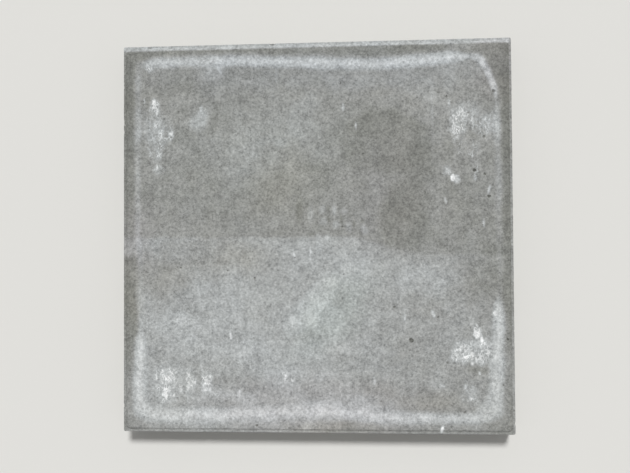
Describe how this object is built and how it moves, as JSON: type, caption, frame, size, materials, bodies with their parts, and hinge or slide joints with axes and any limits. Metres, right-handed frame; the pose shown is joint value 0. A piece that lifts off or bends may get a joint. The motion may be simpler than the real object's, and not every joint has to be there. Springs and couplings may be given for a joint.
{
  "type": "concrete paving slab",
  "caption": "Square pressed-concrete paving slab with a bevelled margin round its walking face and a flat underside for bedding.",
  "frame": {"origin": "middle of the underside, on the ground", "axes": "+Z through the thickness, out of the walking face; +X and +Y along the square sides, with +Y towards the top of the picture"},
  "size_m": [0.5, 0.5, 0.05],
  "materials": {
    "concrete": "pressed grey concrete, matt and fine-grained, with a pale lime bloom round the margin and chalky scuffs"
  },
  "bodies": {
    "root": {"paving_slab": "concrete"}
  },
  "joints": []
}
